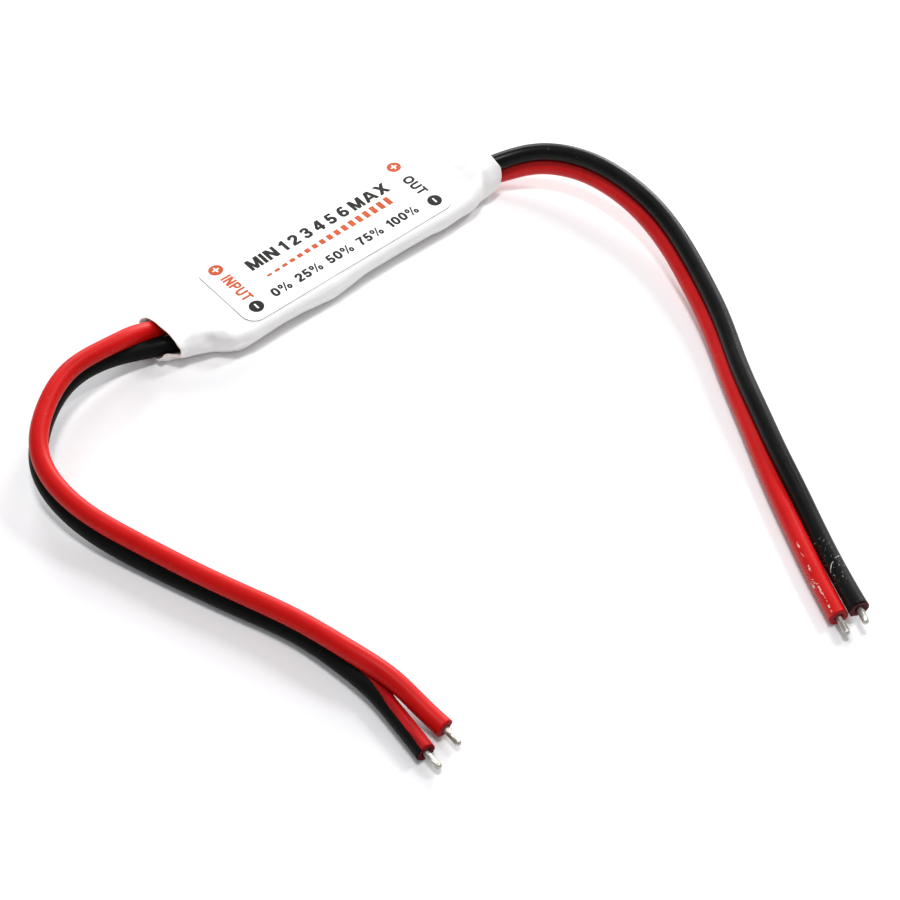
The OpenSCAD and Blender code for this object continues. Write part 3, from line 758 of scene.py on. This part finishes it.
def label_outline(inset, n=22):
    pts = []
    r = max(LABEL_R - inset, 0.02)
    lx, ly = LABEL_L / 2 - inset - r, LABEL_W / 2 - inset - r
    corners = ((1, 1, 0), (-1, 1, 90), (-1, -1, 180), (1, -1, 270))
    for i, (a, b, w) in enumerate(corners):
        for t in np.linspace(0, 90, n):
            pts.append((LABEL_X + a * lx + r * math.cos(math.radians(w + t)),
                        LABEL_Y + b * ly + r * math.sin(math.radians(w + t))))
        a2, b2, w2 = corners[(i + 1) % 4]
        here = pts[-1]
        there = (LABEL_X + a2 * lx + r * math.cos(math.radians(w2)), LABEL_Y + b2 * ly + r * math.sin(math.radians(w2)))
        m = 60 if abs(here[0] - there[0]) > 5 else 26
        for t in np.linspace(0, 1, m + 2)[1:-1]:
            pts.append((here[0] + (there[0] - here[0]) * t, here[1] + (there[1] - here[1]) * t))
    return np.array(pts)


class Build:
    """Collects parts of one mesh with several materials."""

    def __init__(self):
        self.v, self.f, self.m = [], [], []

    def add(self, verts, faces, material):
        base = sum(len(v) for v in self.v)
        self.v.append(np.asarray(verts, float))
        for f in faces:
            self.f.append([base + int(k) for k in f])
            self.m.append(material)


def film(build):
    """The label's own film: a thin closed sheet that follows the sleeve, its cut edge on all sides."""
    outline = label_outline(0)
    n = len(outline)
    rings = []

    def level(inset, lift):
        q = label_outline(inset)
        rings.append(np.stack([q[:, 0], q[:, 1], top_height(q[:, 0], q[:, 1]) + lift], 1))

    level(0.05, 0.004)
    level(0.0, 0.010)
    level(0.0, LABEL_T - 0.02)
    level(0.012, LABEL_T - 0.006)
    for inset in (0.035, 0.08, 0.16, 0.28, 0.42, 0.6, 0.8, 1.05, 1.3, 1.55):
        level(inset, LABEL_T)
    inner = rings[-1]
    c = np.array([LABEL_X, LABEL_Y])
    for k in np.append(np.arange(0.965, 0.05, -0.035), 0.04):
        q = c + (inner[:, :2] - c) * k
        rings.append(np.stack([q[:, 0], q[:, 1], top_height(q[:, 0], q[:, 1]) + LABEL_T], 1))
    verts = np.concatenate(rings)
    faces = [list(f) for f in grid_faces(len(rings), n)]
    # material 1 on the edge faces: the dark grey of the painted shade along the label's edge
    mats = [1 if k < 2 * n or 2 * n <= k < 3 * n else 0 for k in range(len(faces))]
    build.add(verts, [], 0)
    for f, mi in zip(faces, mats):
        build.f.append(f)
        build.m.append(mi)
    build.f.append([(len(rings) - 1) * n + k for k in range(n)])
    build.m.append(0)
    # underside
    rows = []
    for k in (1.0, 0.85, 0.6, 0.3, 0.06):
        q = c + (rings[0][:, :2] - c) * k
        rows.append(np.stack([q[:, 0], q[:, 1], top_height(q[:, 0], q[:, 1]) + 0.004], 1))
    under = np.concatenate(rows[1:])
    base = len(verts)
    build.add(under, [], 1)
    ids = [np.arange(n)] + [base + r * n + np.arange(n) for r in range(len(rows) - 1)]
    for a, b in zip(ids[:-1], ids[1:]):
        for k in range(n):
            j = (k + 1) % n
            build.f.append([a[j], a[k], b[k], b[j]])
            build.m.append(1)
    build.f.append([int(k) for k in ids[-1][::-1]])
    build.m.append(1)


INK, LIFT = 0.006, 0.010


def slab(build, rings2d, lift, material):
    """A thin printed patch from nested outlines, the first one outermost, each with the same number of points."""
    n = len(rings2d[0])
    z = lambda q, h: top_height(q[:, 0], q[:, 1]) + LABEL_T + h
    layers = [np.column_stack([q, z(q, lift)]) for q in rings2d[::-1]] + [np.column_stack([q, z(q, lift + INK)]) for q in rings2d]
    verts = np.concatenate(layers)
    faces = [list(f) for f in grid_faces(len(layers), n)]
    faces.append([(len(layers) - 1) * n + k for k in range(n)])
    faces.append([n - 1 - k for k in range(n)])
    build.add(verts, faces, material)


def disc(build, cx, cy, r, lift, material, n=56):
    a = np.arange(n) * 2 * np.pi / n
    ring = np.stack([np.cos(a), np.sin(a)], 1)
    slab(build, [np.array([cx, cy]) + ring * r * k for k in (1.0, 0.8, 0.55, 0.3, 0.08)], lift, material)


def plate(build, cx, cy, lx, ly, lift, material, r=0.04):
    """A small rounded rectangle."""
    def ring(k):
        pts = []
        rr = r * k
        for a, b, w in ((1, 1, 0), (-1, 1, 90), (-1, -1, 180), (1, -1, 270)):
            for t in (0, 30, 60, 90):
                pts.append((cx + a * (lx / 2 * k - rr) + rr * math.cos(math.radians(w + t)), cy + b * (ly / 2 * k - rr) + rr * math.sin(math.radians(w + t))))
        return np.array(pts)
    slab(build, [ring(k) for k in (1.0, 0.6, 0.2)], lift, material)


def arc(cx, cy, rx, ry, a, b, n=26, power=2.0):
    t = np.radians(np.linspace(a, b, n))
    return list(zip(cx + rx * signed(np.cos(t), 2 / power), cy + ry * signed(np.sin(t), 2 / power)))


# A plain bold sans alphabet of our own: strokes (half width, points) on a cap height of 1
GLYPHS = {
    "I": [(0.1, [(0.1, -0.2), (0.1, 1.2)])],
    "M": [(0.093, [(0.093, -0.2), (0.093, 1.2)]), (0.093, [(0.847, -0.2), (0.847, 1.2)]),
          (0.09, [(0.105, 1.1), (0.502, -0.1)]), (0.09, [(0.835, 1.1), (0.438, -0.1)])],
    "N": [(0.097, [(0.097, -0.2), (0.097, 1.2)]), (0.097, [(0.703, -0.2), (0.703, 1.2)]), (0.1, [(0.075, 1.1), (0.725, -0.1)])],
    "A": [(0.098, [(0.063, -0.1), (0.473, 1.1)]), (0.098, [(0.897, -0.1), (0.487, 1.1)]), (0.085, [(0.2, 0.30), (0.76, 0.30)])],
    "X": [(0.1, [(0.055, -0.1), (0.805, 1.1)]), (0.1, [(0.805, -0.1), (0.055, 1.1)])],
    "T": [(0.087, [(0.0, 0.913), (0.8, 0.913)]), (0.1, [(0.4, -0.2), (0.4, 0.95)])],
    "U": [(0.1, [(0.1, 1.2), (0.1, 0.40)] + arc(0.395, 0.39, 0.295, 0.30, 180, 360) + [(0.69, 0.40), (0.69, 1.2)])],
    "P": [(0.1, [(0.1, -0.2), (0.1, 1.2)]), (0.087, [(0.1, 0.913), (0.43, 0.913)] + arc(0.43, 0.69, 0.225, 0.223, 90, -90) + [(0.1, 0.467)])],
    "O": [(0.1, arc(0.475, 0.5, 0.375, 0.41, 0, 360, 60, 2.15))],
    "0": [(0.093, arc(0.33, 0.5, 0.235, 0.41, 0, 360, 60, 2.2))],
    "1": [(0.097, [(0.345, -0.2), (0.345, 1.2)]), (0.078, [(0.36, 0.955), (0.27, 0.82), (0.06, 0.72)])],
    "2": [(0.092, arc(0.325, 0.69, 0.222, 0.22, 168, -22) + [(0.46, 0.50), (0.33, 0.37), (0.17, 0.21), (0.12, 0.09)]),
          (0.088, [(0.02, 0.088), (0.645, 0.088)])],
    "3": [(0.088, arc(0.315, 0.725, 0.20, 0.19, 162, -90)), (0.088, [(0.22, 0.53), (0.33, 0.53)]),
          (0.09, arc(0.315, 0.30, 0.235, 0.21, 90, -165))],
    "4": [(0.093, [(0.475, -0.2), (0.475, 1.2)]), (0.083, [(0.0, 0.295), (0.675, 0.295)]), (0.083, [(0.45, 1.03), (0.06, 0.33)])],
    "5": [(0.083, [(0.15, 0.917), (0.60, 0.917)]), (0.083, [(0.205, 0.96), (0.135, 0.47)]),
          (0.092, arc(0.325, 0.325, 0.23, 0.235, 145, -160))],
    "6": [(0.09, arc(0.335, 0.315, 0.235, 0.225, 0, 360, 50)), (0.092, arc(0.385, 0.45, 0.285, 0.46, 196, 62))],
    "7": [(0.085, [(0.02, 0.915), (0.65, 0.915)]), (0.093, [(0.555, 0.93), (0.40, 0.62), (0.29, 0.32), (0.255, -0.2)])],
    "%": [(0.068, arc(0.2, 0.74, 0.135, 0.19, 0, 360, 40)), (0.068, arc(0.87, 0.26, 0.135, 0.19, 0, 360, 40)),
          (0.055, [(0.31, -0.05), (0.76, 1.05)])],
}
GAP = 0.115
_drawn = {}


def outlines(strokes):
    """Closed outlines of a set of strokes, clipped to the cap height (marching squares on their distance field)."""
    step = 0.0125
    xs, ys = np.arange(-0.15, 1.25, step), np.arange(-0.1, 1.1, step)
    gx, gy = np.meshgrid(xs, ys, indexing="ij")
    field = np.full(gx.shape, -9.0)
    for hw, pts in strokes:
        hw, pts = hw * 1.28, np.array(pts, float)
        for i in range(len(pts) - 1):
            d = pts[i + 1] - pts[i]
            length = np.hypot(*d)
            if length < 1e-6:
                continue
            d /= length
            along = (gx - pts[i][0]) * d[0] + (gy - pts[i][1]) * d[1]
            across = np.abs((gx - pts[i][0]) * d[1] - (gy - pts[i][1]) * d[0])
            field = np.maximum(field, np.minimum(hw - across, np.minimum(along, length - along)))
            if i:
                field = np.maximum(field, hw - np.hypot(gx - pts[i][0], gy - pts[i][1]))
    field = np.minimum(field, np.minimum(gy + 0.0007, 1.0007 - gy)) + 1e-7
    inside = field > 0
    nx, ny = field.shape
    nxt = {}

    def cut(i0, j0, i1, j1):
        a, b = field[i0, j0], field[i1, j1]
        t = a / (a - b)
        return (xs[i0] + (xs[i1] - xs[i0]) * t, ys[j0] + (ys[j1] - ys[j0]) * t)

    place = {}
    for i in range(nx - 1):
        for j in range(ny - 1):
            c = ((i, j), (i + 1, j), (i + 1, j + 1), (i, j + 1))
            s = [inside[p] for p in c]
            if all(s) or not any(s):
                continue
            into, out = [], []
            for k in range(4):
                p, q = c[k], c[(k + 1) % 4]
                if inside[p] != inside[q]:
                    key = (min(p, q), max(p, q))
                    if key not in place:
                        place[key] = cut(*p, *q)
                    (out if inside[p] else into).append((k, key))
            for k, key in out:
                m = min(into, key=lambda e: (e[0] - k) % 4)
                nxt[key] = m[1]
    loops = []
    while nxt:
        start, key, loop = None, next(iter(nxt)), []
        while key in nxt:
            loop.append(place[key])
            key = nxt.pop(key)
        if len(loop) > 8:
            loops.append(np.array(loop))
    tidy = []
    for loop in loops:
        keep = np.ones(len(loop), bool)
        i = 0
        while i < len(loop):
            j = i + 2
            while j < len(loop):
                seg = loop[j] - loop[i]
                n = np.array([-seg[1], seg[0]]) / max(np.hypot(*seg), 1e-9)
                if np.abs((loop[i + 1:j] - loop[i]) @ n).max() > 0.0016 or j - i > 24:
                    break
                j += 1
            keep[i + 1:j - 1] = False
            i = j - 1
        tidy.append(loop[keep])
    return tidy


def glyph(ch):
    """One character as a closed slab of height 1 (from -0.5 to 0.5), its vertices and faces."""
    if ch not in _drawn:
        c = bpy.data.curves.new("glyph", "CURVE")
        c.dimensions = "2D"
        c.fill_mode = "BOTH"
        c.extrude = 0.5
        for loop in outlines(GLYPHS[ch]):
            sp = c.splines.new("POLY")
            sp.points.add(len(loop) - 1)
            sp.points.foreach_set("co", np.column_stack([loop, np.zeros(len(loop)), np.ones(len(loop))]).ravel())
            sp.use_cyclic_u = True
        o = bpy.data.objects.new("glyph", c)
        bpy.context.scene.collection.objects.link(o)
        bpy.context.view_layer.update()
        me = bpy.data.meshes.new_from_object(o.evaluated_get(bpy.context.evaluated_depsgraph_get()))
        v = np.array([x.co for x in me.vertices])
        f = [list(p.vertices) for p in me.polygons]
        bpy.data.objects.remove(o)
        bpy.data.curves.remove(c)
        bpy.data.meshes.remove(me)
        v[:, 0] -= v[:, 0].min()
        _drawn[ch] = (v, f)
    return _drawn[ch]


def word(text):
    vs, fs, x, base = [], [], 0.0, 0
    for ch in text:
        v, f = glyph(ch)
        vs.append(v + [x, 0, 0])
        fs += [[base + k for k in p] for p in f]
        base += len(v)
        x += v[:, 0].max() + GAP
    return np.vstack(vs), fs


def words(build, text, cap, start, stop, baseline, material, turned=False):
    """Words at equal gaps from start to stop. turned: they run towards -Y with their tops towards +X."""
    parts = []
    for w in text.split():
        v, f = word(w)
        v = v * [cap, cap, 1]
        parts.append((v, f, v[:, 0].max()))
    total_w = sum(p[2] for p in parts)
    span = abs(stop - start)
    if len(parts) == 1:
        stretch, gap = span / total_w, 0
    else:
        stretch, gap = 1.0, (span - total_w) / (len(parts) - 1)
    u = 0.0
    for v, f, w in parts:
        a, b, h = u + v[:, 0] * stretch, v[:, 1], v[:, 2] + 0.5
        if turned:
            x, y = baseline + b, start - a
        else:
            x, y = start + a, baseline + b
        z = top_height(x, y) + LABEL_T + LIFT + h * INK
        build.add(np.stack([x, y, z], 1), f, material)
        u += w * stretch + gap


def make_label():
    b = Build()
    film(b)
    dark, orange, white = 2, 3, 4
    words(b, "MIN 1 2 3 4 5 6 MAX", 1.62, -8.79, 10.29, 1.18, dark)
    bars = 17
    for k in range(bars):
        x = -8.1 + 0.33 + k * (17.3 - 0.66) / (bars - 1)
        h = 0.30 + 0.97 * k / (bars - 1)
        plate(b, x, -0.57 + h / 2, 0.62, h, LIFT, orange)
    words(b, "0% 25% 50% 75% 100%", 1.23, -9.3, 10.5, -3.46, dark)
    words(b, "INPUT", 1.3, 2.4, -1.9, -12.2, orange, turned=True)
    words(b, "OUT", 1.27, 1.7, -1.55, 12.13, dark, turned=True)
    for x, y, sign in ((-11.68, 3.85, 1), (12.88, 3.86, 1), (-11.62, -3.18, -1), (12.81, -3.19, -1)):
        disc(b, x, y, 0.814, LIFT, orange if sign > 0 else dark)
        plate(b, x, y, 0.19, 0.80 if sign > 0 else 0.74, LIFT + 0.009, white)
        if sign > 0:
            plate(b, x, y, 0.80, 0.19, LIFT + 0.013, white)
    return b


def film_material():
    m = Surface("label_film", IOR=1.5)
    m.shader.inputs["Coat Weight"].default_value = 0.15
    m.shader.inputs["Coat Roughness"].default_value = 0.25
    cloud, fibre = m.noise(5.0, 3), m.noise(0.22, 3, 0.65)
    m.color(m.mix(m.step(cloud, 0.3, 0.7), (0.87, 0.87, 0.865), (0.905, 0.905, 0.90)))
    m.rough(m.math("MULTIPLY_ADD", cloud, 0.14, 0.32))
    m.bump([(cloud, 0.012), (fibre, 0.004)])
    return m.material


def edge_shade_material():
    # edge faces and underside of the label painted dark grey: painted shade along the label's edge
    m = Surface("label_edge_painted_shade", IOR=1.45)
    n = m.noise(2.6, 3)
    m.color(m.mix(m.step(n, 0.3, 0.7), (0.14, 0.14, 0.13), (0.50, 0.50, 0.48)))
    m.rough(m.math("MULTIPLY_ADD", n, 0.2, 0.6))
    m.bump([(n, 0.008)])
    return m.material


def ink_material(name, light, heavy, rough):
    m = Surface(name, IOR=1.5)
    m.shader.inputs["Specular IOR Level"].default_value = 0.15
    dots, cloud = m.noise(0.07, 3, 0.7), m.noise(1.4, 2)
    base = m.mix(m.step(cloud, 0.3, 0.7), heavy, light)
    m.color(m.mix(m.step(dots, 0.62, 0.72, 0.0, 0.35), base, tuple(min(1, c * 1.5 + 0.01) for c in light)))
    m.rough(m.math("MULTIPLY_ADD", dots, 0.15, rough))
    m.bump([(dots, 0.002)])
    return m.material


made = make_label()
label = mesh_piece("printed_label", np.concatenate(made.v), made.f, [
    film_material(), edge_shade_material(),
    ink_material("ink_dark", (0.0135, 0.0132, 0.0088), (0.0085, 0.0083, 0.0055), 0.55),
    ink_material("ink_orange", (0.52, 0.090, 0.025), (0.45, 0.072, 0.019), 0.55),
    ink_material("ink_white", (0.87, 0.87, 0.865), (0.85, 0.85, 0.845), 0.4)], face_material=made.m)
label.data.polygons.foreach_set("use_smooth", [m == 0 for m in made.m])
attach(label, "root")
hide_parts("label")

# ------------------------------------------------------------------ parts inside: finishes for the CAD nodes


def simple(name, a, b, size, rough, metal=0.0, bump=0.01, fine=0.1, ior=1.5):
    m = Surface(name, Metallic=metal, IOR=ior)
    n, g = m.noise(size, 3, 0.55), m.noise(fine, 3, 0.6)
    m.color(m.mix(m.step(n, 0.3, 0.7), a, b))
    m.rough(m.math("ADD", m.math("MULTIPLY_ADD", n, 0.15, rough - 0.08), m.math("MULTIPLY", g, 0.08)))
    m.bump([(n, bump), (g, bump * 0.4)])
    return m.material


def board_material():
    """Green solder mask over traces: raised, slightly lighter lines, and a glass weave at the cut edge."""
    m = Surface("green_board", IOR=1.5)
    brick = m.add("ShaderNodeTexBrick", offset=0.5)
    m.link(m.scaled(1, 1, 0), brick.inputs["Vector"])
    brick.inputs["Scale"].default_value = 420
    brick.inputs["Mortar Size"].default_value = 0.07
    weave, cloud = m.noise(0.3, 2), m.noise(2.5, 3)
    base = m.mix(m.step(cloud, 0.3, 0.7), (0.010, 0.085, 0.035), (0.016, 0.12, 0.05))
    base = m.mix(m.math("MULTIPLY", brick.outputs["Fac"], 0.6), base, (0.03, 0.19, 0.085))
    m.color(base)
    m.rough(m.math("MULTIPLY_ADD", cloud, 0.15, 0.25))
    m.bump([(brick.outputs["Fac"], 0.02), (weave, 0.006)])
    return m.material


def chip_material():
    m = Surface("moulded_package", IOR=1.5)
    g, n = m.noise(0.05, 3, 0.7), m.noise(1.2, 2)
    m.color(m.mix(m.step(g, 0.35, 0.65), (0.012, 0.012, 0.013), (0.030, 0.030, 0.031)))
    m.rough(m.math("MULTIPLY_ADD", n, 0.15, 0.5))
    m.bump([(g, 0.006)])
    return m.material


FINISH = {
    "board": board_material(),
    "copper": simple("copper_lands_finish", (0.62, 0.40, 0.18), (0.75, 0.52, 0.26), 0.6, 0.32, 1.0),
    "chip": chip_material(),
    "tinned_lead": simple("tinned_lead_finish", (0.55, 0.55, 0.54), (0.72, 0.72, 0.71), 0.4, 0.32, 1.0),
    "crystal_can": simple("crystal_can_finish", (0.62, 0.61, 0.58), (0.74, 0.73, 0.70), 0.8, 0.28, 1.0, 0.004),
    "ceramic": simple("ceramic_finish", (0.36, 0.24, 0.14), (0.46, 0.32, 0.19), 0.3, 0.5, 0.0, 0.006),
    "resistor": simple("resistor_finish", (0.012, 0.012, 0.015), (0.03, 0.03, 0.034), 0.4, 0.35, 0.0, 0.004),
    "enamel": simple("enamel_finish", (0.20, 0.025, 0.015), (0.30, 0.05, 0.03), 0.5, 0.3, 0.0, 0.004),
    "solder": simple("solder_finish", (0.58, 0.58, 0.57), (0.76, 0.76, 0.75), 0.5, 0.24, 1.0, 0.02),
}
INSIDE = {
    "circuit_board": "board", "copper_lands": "copper",
    "microcontroller": "chip", "rf_receiver": "chip", "power_mosfet": "chip", "voltage_regulator": "chip", "input_diode": "chip",
    "microcontroller_leads": "tinned_lead", "rf_receiver_leads": "tinned_lead", "mosfet_leads": "tinned_lead",
    "regulator_leads": "tinned_lead", "diode_leads": "tinned_lead",
    "capacitor_terminals": "tinned_lead", "resistor_terminals": "tinned_lead",
    "receiver_crystal": "crystal_can", "ceramic_capacitors": "ceramic", "chip_resistors": "resistor",
    "antenna_wire": "enamel", "input_solder_joints": "solder", "output_solder_joints": "solder",
}
for node, finish in INSIDE.items():
    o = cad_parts[node]
    if not o.material_slots:
        o.data.materials.append(FINISH[finish])
    for s in o.material_slots:
        s.material = FINISH[finish]

# ------------------------------------------------------------------ floor and light

floor = mesh_piece("floor", [(x, y, -0.02) for x, y in ((-1500, -1500), (1500, -1500), (1500, 1500), (-1500, 1500))], [[0, 1, 2, 3]], [])
paper = Surface("white_sweep", Roughness=0.9, IOR=1.3)
cloud = paper.noise(60.0, 2)
paper.color(paper.mix(paper.step(cloud, 0.3, 0.7), (0.86, 0.86, 0.86), (0.88, 0.88, 0.88)))
floor.data.materials.append(paper.material)

world = bpy.data.worlds.new("studio")
bpy.context.scene.world = world
world.use_nodes = True
world.node_tree.nodes["Background"].inputs[0].default_value = (0.96, 0.955, 1.0, 1)
world.node_tree.nodes["Background"].inputs[1].default_value = 0.45


def softbox(name, place, target, size_x, size_y, watts, colour=(1, 1, 1)):
    d = bpy.data.lights.new(name, "AREA")
    d.shape = "RECTANGLE"
    d.size, d.size_y = size_x, size_y
    d.energy = watts
    d.color = colour
    o = bpy.data.objects.new(name, d)
    bpy.context.scene.collection.objects.link(o)
    o.location = place
    o.rotation_mode = "QUATERNION"
    o.rotation_quaternion = (Vector(target) - Vector(place)).to_track_quat("-Z", "Y")
    return o


TARGET = (-0.005, -0.033, 0)
softbox("overhead", (0.02, -0.025, 0.60), (0.02, -0.025, 0), 0.14, 0.09, 1.68)
softbox("side", (0.635, -0.12, 0.60), (0.635, -0.12, 0), 0.26, 0.10, 3.3)
softbox("back", (0.415, 0.787, 0.45), TARGET, 0.3, 0.3, 3.85)
softbox("back_side", (0.815, 0.387, 0.45), TARGET, 0.3, 0.3, 2.95)
softbox("backdrop", (1.095, 0.567, 0.27), TARGET, 0.7, 0.3, 10.0)

bpy.context.scene.view_settings.view_transform = "Standard"
bpy.context.scene.view_settings.look = "None"
